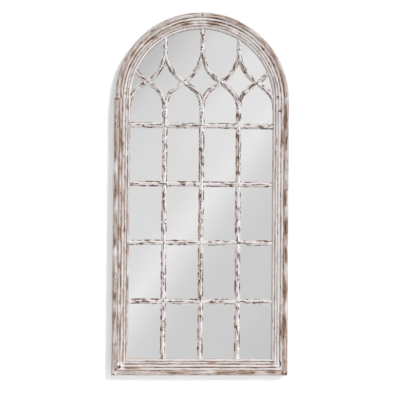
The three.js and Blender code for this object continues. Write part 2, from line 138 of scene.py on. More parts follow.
def make_camera():
    """Makes the photograph's camera and returns its right, up and forward directions."""
    yaw, pitch, roll = map(math.radians, CAMERA_TURN)
    ahead = Vector(
        (math.sin(yaw) * math.cos(pitch), math.cos(yaw) * math.cos(pitch), math.sin(pitch))
    )
    level = Vector((math.cos(yaw), -math.sin(yaw), 0))
    upright = level.cross(ahead)
    right = math.cos(roll) * level + math.sin(roll) * upright
    up = math.cos(roll) * upright - math.sin(roll) * level
    data = bpy.data.cameras.new("photo_camera")
    data.sensor_width = SENSOR
    data.lens = LENS
    camera = new_object("photo_camera", data)
    turn = Matrix((right, up, -ahead)).transposed().to_4x4()
    camera.matrix_world = Matrix.Translation(CAMERA_PLACE) @ turn
    bpy.context.scene.camera = camera
    return right, up, ahead


# ---------------------------------------------------------------- node helpers


def srgb(red, green, blue):
    """A colour as seen, from 0 to 255, in the linear values that a node takes."""
    linear = []
    for value in (red, green, blue):
        v = value / 255
        linear.append(v / 12.92 if v <= 0.04045 else ((v + 0.055) / 1.055) ** 2.4)
    return (*linear, 1.0)


class Shader:
    """A material's node tree, with short ways to add to it."""

    def __init__(self, tree):
        self.tree = tree
        tree.nodes.clear()

    @classmethod
    def material(cls, name):
        material = bpy.data.materials.new(name)
        material.use_nodes = True
        shader = cls(material.node_tree)
        shader.owner = material
        return shader

    def put(self, socket, value):
        """Links value where it is an output, and writes it on the socket where it is a number."""
        if isinstance(value, bpy.types.NodeSocket):
            self.tree.links.new(value, socket)
        else:
            socket.default_value = value

    def node(self, kind, inputs=None, **settings):
        made = self.tree.nodes.new(kind)
        for key, value in settings.items():
            setattr(made, key, value)
        for key, value in (inputs or {}).items():
            self.put(made.inputs[key], value)
        return made

    def math(self, operation, a, b=0.0):
        return self.node("ShaderNodeMath", {0: a, 1: b}, operation=operation).outputs[0]

    def add(self, *values):
        total = values[0]
        for value in values[1:]:
            total = self.math("ADD", total, value)
        return total

    def times(self, a, b):
        return self.math("MULTIPLY", a, b)

    def around(self, value, strength):
        """A noise from 0 to 1 turned into an amount either side of 0."""
        return self.times(self.math("SUBTRACT", value, 0.5), strength)

    def between(self, value, low, high, to_low=0.0, to_high=1.0):
        made = self.node(
            "ShaderNodeMapRange",
            {"Value": value, "From Min": low, "From Max": high, "To Min": to_low, "To Max": to_high},
            interpolation_type="SMOOTHSTEP",
        )
        return made.outputs["Result"]

    def attribute(self, name):
        return self.node("ShaderNodeAttribute", attribute_name=name).outputs["Fac"]

    def scaled(self, vector, *factors):
        made = self.node("ShaderNodeVectorMath", {0: vector, 1: factors}, operation="MULTIPLY")
        return made.outputs[0]

    def noise(self, vector, detail=3.0, roughness=0.55, distortion=0.0, scale=1.0):
        made = self.node(
            "ShaderNodeTexNoise",
            {
                "Vector": vector,
                "Scale": scale,
                "Detail": detail,
                "Roughness": roughness,
                "Distortion": distortion,
            },
        )
        return made.outputs["Fac"]

    def ramp(self, value, stops):
        """stops are pairs of a place from 0 to 1 and a colour."""
        made = self.node("ShaderNodeValToRGB", {"Fac": value})
        ramp = made.color_ramp
        while len(ramp.elements) < len(stops):
            ramp.elements.new(0.5)
        for element, (place, colour) in zip(ramp.elements, stops):
            element.position = place
            element.color = colour
        return made.outputs["Color"]

    def mix(self, factor, a, b):
        made = self.node("ShaderNodeMix", data_type="RGBA")
        self.put(made.inputs[0], factor)
        self.put(made.inputs[6], a)
        self.put(made.inputs[7], b)
        return made.outputs[2]

    def bump(self, height, distance, strength):
        inputs = {"Height": height, "Distance": distance, "Strength": strength}
        return self.node("ShaderNodeBump", inputs).outputs["Normal"]

    def finish(self, colour, roughness, normal, metallic=0.0, specular=0.5):
        surface = self.node(
            "ShaderNodeBsdfPrincipled",
            {
                "Base Color": colour,
                "Roughness": roughness,
                "Metallic": metallic,
                "Specular IOR Level": specular,
                "Normal": normal,
            },
        )
        out = self.node("ShaderNodeOutputMaterial")
        self.tree.links.new(surface.outputs[0], out.inputs["Surface"])
        return self.owner


# ---------------------------------------------------------------- materials

WASH_STOPS = (
    (0.00, srgb(118, 94, 80)),
    (0.18, srgb(146, 124, 112)),
    (0.36, srgb(171, 155, 148)),
    (0.54, srgb(193, 183, 179)),
    (0.74, srgb(211, 205, 203)),
    (1.00, srgb(221, 217, 217)),
)
STAIN_STOPS = ((0.35, srgb(132, 98, 72)), (0.55, srgb(158, 124, 98)), (0.72, srgb(150, 134, 123)))
WOOD_STOPS = ((0.30, srgb(56, 42, 35)), (0.50, srgb(88, 66, 52)), (0.72, srgb(132, 98, 74)))
RAW_STOPS = (
    (0.32, srgb(122, 90, 62)),
    (0.50, srgb(170, 136, 102)),
    (0.66, srgb(196, 165, 129)),
)


def whitewash(name, streak, mottle, patch, stains, chips, relief, level):
    """Wood with a worn white wash. streak, mottle and patch are (along, across, strength) of three
    sizes of wear, in cycles a metre. stains and chips are (along, across, threshold) of the long
    brown streaks and of the small bare places. relief is how much whiter the raised lines are than
    the grooves, and level is where the wash starts."""
    s = Shader.material(name)
    grain = s.node("ShaderNodeUVMap", uv_map="grain").outputs["UV"]
    raised, wear = s.attribute("relief"), s.attribute("wear")
    paint = [wear, s.times(raised, relief)]
    for (along, across, strength), detail in zip((streak, mottle, patch), (4, 5, 2)):
        field = s.noise(s.scaled(grain, along, across, 1), detail, 0.62, 0.25)
        paint.append(s.around(field, strength))
    fine = s.noise(s.scaled(grain, 22, 900, 1), 3, 0.6)
    paint.append(s.around(fine, 0.16))
    paint = s.add(level, *paint)

    def worn_through(along, across, threshold, width, pull, seed):
        field = s.noise(s.scaled(grain, along, across, seed), 4, 0.66, 0.35)
        field = s.add(field, s.times(raised, -0.04), s.times(wear, -pull))
        return s.between(field, threshold, threshold + width)

    stain = s.times(worn_through(*stains, 0.09, 0.30, 2), 0.85)
    bare = worn_through(*chips, 0.04, 0.16, 3)
    tone = s.noise(s.scaled(grain, 14, 200, 2), 4, 0.6)
    painted = s.mix(stain, s.ramp(paint, WASH_STOPS), s.ramp(tone, STAIN_STOPS))
    painted = s.mix(s.times(bare, 0.94), painted, s.ramp(tone, WOOD_STOPS))
    pores = s.noise(s.scaled(grain, 40, 1700, 1), 2, 0.5)
    rings = s.noise(s.scaled(grain, 3, 85, 4), 4, 0.6, 1.2)
    raw = s.ramp(s.add(s.times(rings, 0.65), s.times(fine, 0.25), s.times(pores, 0.1)), RAW_STOPS)
    spray = s.between(s.noise(s.scaled(grain, 20, 30, 1), 4, 0.75), 0.52, 0.70, 0, 0.55)
    raw = s.mix(spray, raw, srgb(214, 205, 198))
    colour = s.mix(s.attribute("raw"), painted, raw)
    film = s.times(s.between(paint, 0.2, 0.6), s.math("SUBTRACT", 1.0, bare))
    roughness = s.add(s.times(film, 0.16), s.around(fine, 0.2), 0.62)
    normal = s.bump(s.add(s.times(film, 0.6), s.times(pores, 0.25)), 0.0004, 0.7)
    return s.finish(colour, roughness, normal, specular=0.3)


def mirror_silver():
    """Silvered glass: a clear reflection with the faintest haze of dust."""
    s = Shader.material("mirror_silver")
    place = s.node("ShaderNodeTexCoord").outputs["Object"]
    dust = s.noise(place, 6, 0.6, 0.4, scale=9.0)
    colour = s.ramp(dust, ((0.3, (0.905, 0.905, 0.905, 1)), (0.7, (0.925, 0.925, 0.926, 1))))
    roughness = s.between(dust, 0.45, 0.8, 0.012, 0.035)
    wave = s.noise(place, 1, 0.4, scale=3.0)
    return s.finish(colour, roughness, s.bump(wave, 0.00004, 0.3), metallic=1.0)


def hardboard():
    s = Shader.material("hardboard")
    place = s.node("ShaderNodeTexCoord").outputs["Object"]
    fibre = s.noise(s.scaled(place, 420, 420, 310), 5, 0.7, 0.8)
    cloud = s.noise(place, 3, 0.6, scale=6.0)
    shade = s.add(s.times(fibre, 0.65), s.times(cloud, 0.35))
    stops = ((0.34, srgb(92, 66, 45)), (0.5, srgb(124, 93, 66)), (0.66, srgb(154, 122, 90)))
    fleck = s.between(s.noise(s.scaled(place, 230, 230, 170), 3, 0.7), 0.60, 0.68)
    scuff = s.noise(s.scaled(place, 9, 9, 45), 5, 0.75, 1.5)
    scuff = s.times(s.between(scuff, 0.60, 0.68), 0.35)
    colour = s.mix(s.times(fleck, 0.5), s.ramp(shade, stops), srgb(66, 46, 31))
    colour = s.mix(scuff, colour, srgb(178, 152, 124))
    return s.finish(colour, s.add(0.68, s.around(fibre, 0.3)), s.bump(fibre, 0.0004, 0.5))


def zinc_steel():
    s = Shader.material("zinc_steel")
    place = s.node("ShaderNodeTexCoord").outputs["Object"]
    cloud = s.noise(place, 4, 0.6, scale=240.0)
    scratch = s.noise(s.scaled(place, 2600, 2600, 260), 2, 0.5)
    stops = ((0.3, srgb(150, 151, 150)), (0.6, srgb(188, 189, 187)), (0.8, srgb(206, 206, 201)))
    colour = s.ramp(cloud, stops)
    roughness = s.add(0.3, s.times(scratch, 0.12), s.times(cloud, 0.12))
    return s.finish(colour, roughness, s.bump(scratch, 0.00002, 0.5), metallic=1.0)


def beech():
    s = Shader.material("beech_dowel")
    place = s.node("ShaderNodeTexCoord").outputs["Object"]
    grain = s.noise(s.scaled(place, 220, 900, 900), 4, 0.6)
    colour = s.ramp(grain, ((0.3, srgb(176, 138, 96)), (0.7, srgb(212, 178, 134))))
    return s.finish(colour, s.add(0.6, s.around(grain, 0.2)), s.bump(grain, 0.0002, 0.5))


def black_rubber():
    s = Shader.material("black_rubber")
    place = s.node("ShaderNodeTexCoord").outputs["Object"]
    bloom = s.noise(place, 4, 0.6, scale=180.0)
    colour = s.ramp(bloom, ((0.35, srgb(24, 24, 25)), (0.75, srgb(58, 57, 56))))
    pits = s.noise(place, 2, 0.5, scale=1400.0)
    return s.finish(colour, s.add(0.74, s.around(bloom, 0.2)), s.bump(pits, 0.0001, 0.4))


FRAME_WASH = whitewash(
    "whitewash_frame",
    streak=(9, 90, 1.20),
    mottle=(34, 150, 0.60),
    patch=(7, 26, 0.70),
    stains=(10, 66, 0.555),
    chips=(22, 110, 0.60),
    relief=0.24,
    level=0.60,
)
BAR_WASH = whitewash(
    "whitewash_bars",
    streak=(20, 95, 0.50),
    mottle=(55, 170, 0.55),
    patch=(9, 45, 0.35),
    stains=(16, 90, 0.58),
    chips=(27, 66, 0.51),
    relief=0.16,
    level=0.76,
)
MATERIALS = {
    "mirror_glass": mirror_silver(),
    "back_panel": hardboard(),
}
ZINC, BEECH, RUBBER = zinc_steel(), beech(), black_rubber()

# ---------------------------------------------------------------- repeatable noise


def cell_value(i, j, seed):
    """A repeatable number from -1 to 1 for each cell of a grid."""
    with np.errstate(over="ignore"):
        mixed = (
            i.astype(np.uint64) * np.uint64(374761393)
            + j.astype(np.uint64) * np.uint64(668265263)
            + np.uint64(seed * 2246822519 + 97)
        )
        mixed = (mixed ^ (mixed >> np.uint64(13))) * np.uint64(1274126177)
        mixed = mixed ^ (mixed >> np.uint64(16))
    return (mixed & np.uint64(0xFFFF)).astype(float) / 32767.5 - 1


def smooth_noise(u, v, seed):
    """Noise from -1 to 1 with one cycle a unit, smooth between the cells of a grid."""
    u, v = u + 1000.0, v + 1000.0
    i, j = np.floor(u), np.floor(v)
    a, b = u - i, v - j
    a, b = a * a * (3 - 2 * a), b * b * (3 - 2 * b)
    low = cell_value(i, j, seed) * (1 - a) + cell_value(i + 1, j, seed) * a
    high = cell_value(i, j + 1, seed) * (1 - a) + cell_value(i + 1, j + 1, seed) * a
    return low * (1 - b) + high * b


# ---------------------------------------------------------------- sections

REED_POINTS = 9
CREST_WASH = (-0.45, 0.45, 0.75, 0.35, 1.0)
GROOVE_WASH = (-0.6, -0.8, -1.0, -0.5, -1.0, 0.6)
BEAD_POINTS = 12
EDGE_STEP = 5.0


def line_points(a, b, relief, raw, step=EDGE_STEP):
    """Section points from a up to b, without b."""
    count = max(1, round(math.hypot(b[0] - a[0], b[1] - a[1]) / step))
    return [
        (a[0] + (b[0] - a[0]) * k / count, a[1] + (b[1] - a[1]) * k / count, relief, raw)
        for k in range(count)
    ]


def bead_points(start, end, low, high, crest, count, wash):
    """A half-round from its first groove up to its second, without the second. wash(t) is how
    white it is worn, from -1 to 1, at the share t of the way across."""
    points = []
    for k in range(count):
        t = k / count
        rise = math.sin(math.pi * t) ** 0.7
        h = low + (high - low) * t + (crest - (low + high) / 2) * rise
        points.append((start + (end - start) * t, h, wash(t), 0.0))
    return points


def reed_wash(i):
    """The frame's reeds are whitest along their crests, and the wide outer one is browner."""
    low, high, crest = GROOVE_WASH[i], GROOVE_WASH[i + 1], CREST_WASH[i]

    def wash(t):
        groove = low if t < 0.5 else high
        return groove + (crest - groove) * math.sin(math.pi * t)

    return wash


def bar_wash(t):
    """A bar is whitest on its two shoulders, and its crest is rubbed."""
    return -0.9 + 1.9 * abs(math.sin(2 * math.pi * t)) ** 0.8


def frame_section():
    """The moulding's outline as (inset from the outer edge, h, relief, raw)."""
    points = line_points((0, 0), (0, REED_VALLEYS[0]), -0.3, 0.0)
    points[0] = (0, 0, -0.3, 1.0)
    edge = 0
    for i, width in enumerate(REED_WIDTHS):
        low, high = REED_VALLEYS[i], REED_VALLEYS[i + 1]
        shape = (edge, edge + width, low, high, REED_CRESTS[i], REED_POINTS)
        points += bead_points(*shape, reed_wash(i))
        edge += width
    points += line_points((edge, REED_VALLEYS[-1]), (edge, GLASS_SEAT), 0.5, 0.0)
    glass, panel = edge - GLASS_REBATE, edge - PANEL_REBATE
    corners = [(edge, GLASS_SEAT), (glass, GLASS_SEAT), (glass, PANEL_SEAT), (panel, PANEL_SEAT)]
    corners += [(panel, 0), (0, 0)]
    for a, b in zip(corners, corners[1:]):
        points += line_points(a, b, 0.0, 1.0, 9.0)
    return points


def bar_section(width, thickness):
    """A glazing bar's outline as (across from its middle, h, relief, raw)."""
    half, foot, edge = width / 2, GLASS_SEAT, GLASS_SEAT + BAR_EDGE
    start = half - BAR_FILLET
    points = line_points((-half, foot), (-half, edge), 0.1, 0.0, 2.0)
    points += line_points((-half, edge), (-start, edge), 0.3, 0.0, 2.0)
    crest = GLASS_SEAT + thickness
    points += bead_points(-start, start, edge, edge, crest, BEAD_POINTS, bar_wash)
    points += [(start, edge, bar_wash(1), 0.0), (start + BAR_FILLET / 2, edge, 0.3, 0.0)]
    points += line_points((half, edge), (half, foot), 0.1, 0.0, 2.0)
    points += line_points((half, foot), (-half, foot), 0.0, 1.0, 10.0)
    return points


# ---------------------------------------------------------------- sweeping wood

STATION = 5.0  # along the frame
BAR_STATION = 3.5
EASE = 0.9  # how far an end's arris is rounded over
JOINT_REACH = 16.0  # how far the wash stays thick beside a joint
RUB_REACH = 1.3  # how far it is rubbed off the joint's arris
FRAME_JOINT_WASH, FRAME_EDGE_RUB = 0.10, 0.05
BAR_JOINT_WASH, BAR_EDGE_RUB = 0.30, 0.35

# Rubbed and thickly painted places, as (along, across, half length, half width, strength); a
# negative strength bares the wood. Along is what the piece is swept by; across is from the outer
# edge on the frame and from the middle on a bar.
MARKS = {
    "arch_left": (
        (350, 12, 450, 16, 0.06), (480, 50, 170, 8, -0.09), (716, 10, 4, 14, -0.7),
        (600, 27, 90, 3, -0.45), (640, 14, 60, 5, 0.25), (680, 34, 60, 5, 0.3),
        (9, 37, 15, 4, -0.6), (17, 14, 5, 9, -0.4), (30, 58, 6, 6, -0.5), (78, 9, 18, 5, -0.15),
        (147, 9, 22, 5, -0.15), (212, 11, 15, 5, -0.2), (240, 45, 190, 2.5, -0.35),
        (260, 24, 26, 5, -0.42), (329, 38, 12, 6, 0.5), (378, 44, 34, 4, -1.0), (412, 49, 22, 5, -0.5),
        (580, 41, 50, 3, -0.6), (622, 55, 20, 8, -0.40), (545, 71, 60, 2.5, -0.2),
        (659, 6, 28, 5, -0.3), (676, 56, 16, 9, 0.4), (610, 50, 80, 6, -0.2),
    ),
    "arch_right": (
        (350, 12, 450, 16, 0.08), (300, 58, 350, 14, 0.09), (640, 27, 60, 3, -0.65),
        (640, 43, 60, 3, -0.8), (690, 34, 70, 5, 0.35), (60, 26, 45, 3, -0.6), (55, 41, 45, 2.5, -0.5),
        (20, 58, 8, 5, -1.3), (35, 42, 14, 7, 0.4), (117, 28, 20, 4, -0.25),
        (243, 15, 50, 6, -0.4), (225, 37, 50, 5, -0.5), (318, 42, 7, 4, -1.0),
        (498, 11, 30, 6, -0.55), (520, 57, 25, 9, 0.6), (557, 42, 6, 4, -0.8),
        (650, 57, 50, 4, -0.65), (650, 10, 26, 5, -0.35), (610, 12, 80, 12, -0.16),
        (660, 50, 45, 6, -0.25), (670, 65, 45, 5, -0.25),
    ),
    "jamb_left": (
        (750, 35, 1000, 8, -0.11), (750, 50, 1000, 9, -0.08), (750, 78, 1000, 8, -0.16),
        (1433, 12, 4, 13, -0.7),
        (1342, 8, 12, 6, -0.25), (1229, 37, 60, 4, -0.4), (1138, 8, 30, 6, -0.3),
        (1073, 10, 30, 8, 0.4), (1151, 68, 15, 8, 0.3), (939, 13, 28, 8, -0.4),
        (861, 11, 24, 7, 0.25), (809, 15, 20, 7, -0.15), (748, 61, 35, 6, -0.2),
        (692, 11, 20, 8, -0.3), (640, 11, 25, 8, 0.5), (523, 12, 24, 8, -0.15),
        (410, 13, 20, 8, -0.45), (345, 32, 24, 20, 0.2), (306, 13, 20, 8, -0.32),
        (475, 78, 35, 3, -0.6), (58, 45, 10, 16, 0.5), (44, 39, 6, 5, -2.2), (40, 63, 6, 9, -1.4),
        (22, 12, 10, 7, 0.4), (30, 21, 6, 5, -0.7),
    ),
    "jamb_right": (
        (750, 55, 1000, 18, 0.09), (1060, 35, 120, 6, 0.2), (300, 35, 60, 6, -0.15),
        (1345, 16, 66, 5, -0.8), (1381, 48, 5, 11, -0.9), (1255, 37, 50, 3, -0.45),
        (1212, 15, 34, 5, -0.75), (1038, 17, 24, 6, 0.25), (934, 17, 35, 6, -0.5),
        (765, 13, 50, 6, -0.7), (748, 30, 25, 6, 0.15), (622, 13, 35, 6, -0.8), (432, 13, 45, 6, -0.6),
        (354, 9, 20, 8, 0.1), (271, 18, 44, 8, -0.55), (237, 35, 50, 4, -0.45),
        (63, 37, 12, 4, -0.8), (55, 55, 12, 12, 0.8), (63, 78, 8, 5, -1.2), (42, 65, 6, 9, -1.6),
        (9, 4, 9, 5, -1.6), (150, 4, 140, 4, -0.25),
    ),
    "bottom_rail": (
        (0, 34, 440, 3.5, 0.16), (0, 42, 420, 2.5, -0.32), (0, 50, 420, 4, 0.12),
        (0, 59, 400, 2.5, -0.28), (0, 73, 390, 2.5, -0.2), (-418, 42, 6, 5, -1.8),
        (-400, 45, 10, 16, 0.5), (-357, 37, 40, 3, -0.65),
        (-353, 56, 45, 3, -0.2), (-132, 15, 50, 6, -0.3), (46, 43, 60, 3, -0.35), (63, 21, 20, 6, 0.2),
        (111, 15, 40, 6, -0.3), (167, 58, 40, 4, -0.25), (236, 12, 40, 6, -0.45), (297, 42, 25, 3, -0.1),
        (371, 17, 28, 5, -0.5), (375, 44, 24, 4, -0.7), (379, 68, 12, 4, -0.9), (405, 55, 10, 14, 0.9),
        (420, 63, 6, 11, -1.3), (449, 5, 9, 5, -1.6), (432, 14, 7, 7, -0.5), (-438, 13, 10, 9, 0.45),
        (-449, 5, 6, 4, -1.3),
    ),
    "ogee_1_falling": ((200, 0, 30, 7, -0.35),),
    "ogee_2_rising": ((285, 3, 45, 4, -0.4),),
    "ogee_2_falling": ((270, -2, 50, 6, -0.25), (110, -2, 45, 4, -0.4)),
    "ogee_3_rising": ((300, 2, 30, 7, -0.35),),
    "ogee_3_falling": ((190, 0, 45, 8, -0.4),),
    "ogee_4_rising": ((165, 0, 55, 6, -0.35), (60, 0, 30, 7, -0.3)),
    "ogee_4_falling": ((270, 0, 50, 6, -0.35),),
    "mullion_right": ((1340, 5, 40, 6, -0.3), (1120, 0, 130, 10, -0.15)),
    "mullion_centre": ((1090, 3, 70, 7, -0.2), (700, 0, 640, 14, -0.09)),
}


class Wood:
    """One wooden piece: bodies swept from a section, gathered into a single mesh."""

    def __init__(self, name, section, material, station, seed):
        self.name = name
        self.section = np.array(section, float)
        self.material = material
        self.station = station
        self.seed = seed
        self.marks = MARKS.get(name, ())
        is_bar = material is BAR_WASH
        self.joint_wash = BAR_JOINT_WASH if is_bar else FRAME_JOINT_WASH
        self.edge_rub = BAR_EDGE_RUB if is_bar else FRAME_EDGE_RUB
        self.points, self.faces, self.uvs = [], [], []
        self.relief, self.raw, self.wear = [], [], []
        self.count = 0

    def wear_at(self, s, v, front):
        """Uneven depth of the painted surface: slow waves, small ripples and a few dents."""
        wave = 0.35 * (1 + smooth_noise(s / 90, v / 25, self.seed)) / 2
        ripple = 0.25 * (1 + smooth_noise(s / 14, v / 6, self.seed + 1)) / 2
        dent = np.clip(smooth_noise(s / 22, v / 9, self.seed + 2) - 0.62, 0, 1) * 3.2
        return (wave + ripple + dent) * front

    def marked(self, s, v):
        """What the piece's marks add to the wash."""
        total = np.zeros_like(s)
        for at, across, length, width, strength in self.marks:
            off = ((s - at) / length) ** 2 + ((v - across) / width) ** 2
            total += strength * np.exp(-(off**1.5))
        return total

    def sweep(self, place, start, end, squeeze=None):
        """Adds one closed body. place(s, v) gives x and z for s along and v across, and start(v)
        and end(v) give where each line of the section begins and stops."""
        v, h, relief, raw = self.section.T
        first, last = start(v), end(v)
        longest = float(np.max(last - first))
        steps = max(2, round((longest - 2 * EASE) / self.station))
        t = np.linspace(EASE / longest, 1 - EASE / longest, steps + 1)
        t = np.concatenate([[0], t, [1]])
        s = first[:, None] + (last - first)[:, None] * t[None, :]
        across = np.repeat(v[:, None], len(t), 1)
        front = np.repeat(((raw == 0) & (h > GLASS_SEAT))[:, None], len(t), 1).astype(float)
        height = np.repeat(h[:, None], len(t), 1)
        height = height - self.wear_at(s, across, front)
        for ring in (0, -1):
            height[:, ring] -= EASE * 0.8 * front[:, ring]
        if squeeze is not None:
            across = squeeze(s, across)
        x, z = place(s, across)
        n, m = s.shape
        co = np.stack([x, BACK_FACE_Y - height, z], -1) * MM
        self.points.append(co.reshape(-1, 3))
        beside = np.minimum(s - first[:, None], last[:, None] - s)
        joint = self.joint_wash * np.exp(-((beside / JOINT_REACH) ** 2))
        edge = self.edge_rub * np.exp(-((beside / RUB_REACH) ** 2))
        self.wear.append((joint - edge + self.marked(s, across)).ravel())
        self.relief.append(np.repeat(relief[:, None], m, 1).ravel())
        self.raw.append(np.repeat(raw[:, None], m, 1).ravel())
        turn = np.concatenate([[0], np.cumsum(np.hypot(np.diff(v), np.diff(h)))])
        turn = np.append(turn, turn[-1] + math.hypot(v[0] - v[-1], h[0] - h[-1]))
        shift = self.seed * 7.31
        for i in range(n):
            j = (i + 1) % n
            for k in range(m - 1):
                corners = (i * m + k, j * m + k, j * m + k + 1, i * m + k + 1)
                self.faces.append([self.count + a for a in corners])
                low, high = s[i, k] * MM + shift, s[i, k + 1] * MM + shift
                low2, high2 = s[j, k] * MM + shift, s[j, k + 1] * MM + shift
                a, b = turn[i] * MM, turn[i + 1] * MM
                self.uvs += [(low, a), (low2, b), (high2, b), (high, a)]
        for k in (0, m - 1):
            order = range(n) if k else range(n - 1, -1, -1)
            self.faces.append([self.count + i * m + k for i in order])
            self.uvs += [(v[i] * MM + shift, h[i] * MM) for i in order]
        self.count += n * m

    def make(self):
        mesh = bpy.data.meshes.new(self.name)
        mesh.from_pydata(np.concatenate(self.points).tolist(), [], self.faces)
        layer = mesh.uv_layers.new(name="grain")
        layer.uv.foreach_set("vector", np.array(self.uvs, np.float32).ravel())
        for name, values in (("relief", self.relief), ("raw", self.raw), ("wear", self.wear)):
            attribute = mesh.attributes.new(name, "FLOAT", "POINT")
            attribute.data.foreach_set("value", np.concatenate(values).astype(np.float32))
        return finish_mesh(self.name, mesh, self.material)


def finish_mesh(name, mesh, material, sharp=38.0):
    """Turns the faces outwards, smooths all but the sharp edges and makes the object."""
    work = bmesh.new()
    work.from_mesh(mesh)
    bmesh.ops.recalc_face_normals(work, faces=work.faces)
    limit = math.radians(sharp)
    for face in work.faces:
        face.smooth = True
    for edge in work.edges:
        edge.smooth = len(edge.link_faces) == 2 and edge.calc_face_angle(0) < limit
    work.to_mesh(mesh)
    work.free()
    mesh.materials.append(material)
    return new_object(name, mesh)


def dress(piece, node, body="mirror"):
    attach(piece, body)
    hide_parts(node)


def constant(value):
    return lambda v: np.full_like(v, value)


# ---------------------------------------------------------------- frame

SHOULDER_STEP = 6.0  # how far the left arch stands in from the jamb where they meet
SHOULDER_REACH = 120.0
HALF_GAP = SEAT_GAP / 2


def on_jamb(side):
    return lambda s, v: (side * (OUTER_R - v), s)


def on_arch(side):
    """s runs up the arch from the springing line, measured on the outer edge."""

    def place(s, v):
        angle = s / OUTER_R
        r = OUTER_R - v
        return side * r * np.cos(angle), SPRING_Z + r * np.sin(angle)

    return place


def left_shoulder(s, v):
    step = SHOULDER_STEP * np.exp(-((s / SHOULDER_REACH) ** 2))
    return v + step * (1 - v / FACE_WIDTH)


def make_frame():
    section = frame_section()
    quarter = OUTER_R * math.pi / 2
    pieces = {}
    for seed, (word, side) in enumerate(SIDES.items()):
        jamb = Wood(f"jamb_{word}", section, FRAME_WASH, STATION, 11 + seed)
        jamb.sweep(on_jamb(side), lambda v: v + HALF_GAP, constant(SPRING_Z - SEAT_GAP))
        arch = Wood(f"arch_{word}", section, FRAME_WASH, STATION, 21 + seed)
        squeeze = left_shoulder if side < 0 else None
        arch.sweep(on_arch(side), constant(0.0), constant(quarter - HALF_GAP), squeeze)
        pieces.update({jamb.name: jamb, arch.name: arch})
    rail = Wood("bottom_rail", section, FRAME_WASH, STATION, 31)
    rail.sweep(
        lambda s, v: (s, v),
        lambda v: v + HALF_GAP - OUTER_R,
        lambda v: OUTER_R - v - HALF_GAP,
    )
    pieces[rail.name] = rail
    return pieces


# ---------------------------------------------------------------- lattice


def sight_reach(x):
    """How high the opening is at x."""
    r = SIGHT_R - SEAT_GAP
    return SPRING_Z + np.sqrt(np.maximum(r * r - x * x, 0))


def between_crossings(wood, place, low, high, crossings):
    """Lengths of bar from low to high, mitred to a point at each crossing."""
    starts = [low] + [lambda v, c=c: c + np.abs(v) + HALF_GAP for c in crossings]
    ends = [lambda v, c=c: c - np.abs(v) - HALF_GAP for c in crossings] + [high]
    for start, end in zip(starts, ends):
        wood.sweep(place, start, end)


def ogee_rise(run, radius):
    straight_run = run - radius * (1 - math.sin(OGEE_SLOPE))
    return straight_run * math.tan(OGEE_SLOPE) + radius * math.cos(OGEE_SLOPE)


CROSSING_Z = OGEE_HIGH_Z - ogee_rise(MULLION_PITCH / 2, OGEE_HIGH_RADIUS)
OGEE_LOW_Z = CROSSING_Z - ogee_rise(MULLION_PITCH / 2 - FOOT_OFFSET, OGEE_LOW_RADIUS)
MULLION_TOP = OGEE_LOW_Z - OGEE_FOOT


class OgeeLine:
    """The centre line of one ogee: upright, round to the slope, across the bay, upright again."""

    def __init__(self, start_x, direction):
        x0 = start_x + direction * FOOT_OFFSET
        end_x = start_x + direction * MULLION_PITCH
        turn = math.pi / 2 - OGEE_SLOPE
        low = np.linspace(0, turn, 60)
        high = np.linspace(turn, 0, 60)
        xs = [np.linspace(x0, x0, 8), x0 + direction * OGEE_LOW_RADIUS * (1 - np.cos(low))]
        zs = [np.linspace(MULLION_TOP, OGEE_LOW_Z, 8), OGEE_LOW_Z + OGEE_LOW_RADIUS * np.sin(low)]
        xs.append(end_x - direction * OGEE_HIGH_RADIUS * (1 - np.cos(high)))
        zs.append(OGEE_HIGH_Z - OGEE_HIGH_RADIUS * np.sin(high))
        tx = [np.zeros(8), direction * np.sin(low), direction * np.sin(high)]
        tz = [np.ones(8), np.cos(low), np.cos(high)]
        self.x, self.z = np.concatenate(xs), np.concatenate(zs)
        self.tx, self.tz = np.concatenate(tx), np.concatenate(tz)
        step = np.hypot(np.diff(self.x), np.diff(self.z))
        self.s = np.concatenate([[0], np.cumsum(step)])
        self.length = self.s[-1]
        middle = start_x + direction * MULLION_PITCH / 2
        order = np.argsort(self.x * direction, kind="stable")
        self.crossing = float(np.interp(middle * direction, self.x[order] * direction, self.s[order]))
        self.planes = sorted((start_x, end_x))

    def place(self, s, v):
        """The point at s along and v to the right, kept between the two mullions' middles."""
        tx, tz = np.interp(s, self.s, self.tx), np.interp(s, self.s, self.tz)
        size = np.hypot(tx, tz)
        x = np.interp(s, self.s, self.x) + v * tz / size
        z = np.interp(s, self.s, self.z) - v * tx / size
        return np.clip(x, self.planes[0] + HALF_GAP, self.planes[1] - HALF_GAP), z

    def mitre(self, direction):
        """Where each line of the section meets the other ogee, before and after the crossing."""
        a = -direction * math.sin(2 * OGEE_SLOPE)
        b = -math.cos(2 * OGEE_SLOPE)
        sign = math.copysign(1, a)

        def before(v):
            return self.crossing + (-sign * (np.abs(v) + HALF_GAP) - v * b) / a

        def after(v):
            return self.crossing + (sign * (np.abs(v) + HALF_GAP) - v * b) / a

        return before, after

    def in_opening(self, low, high):
        """low and high with each line of the section kept to the stretch inside the frame."""
        fine = np.linspace(0, self.length, 1200)

        def inside(v):
            x, z = self.place(fine, np.full_like(fine, v))
            r = np.where(z > SPRING_Z, np.hypot(x, z - SPRING_Z), np.abs(x))
            found = fine[r < SIGHT_R - SEAT_GAP]
            return found[0], found[-1]

        def start(v):
            return np.maximum(low(v), [inside(one)[0] for one in v])

        def end(v):
            return np.minimum(high(v), [inside(one)[1] for one in v])

        return start, end


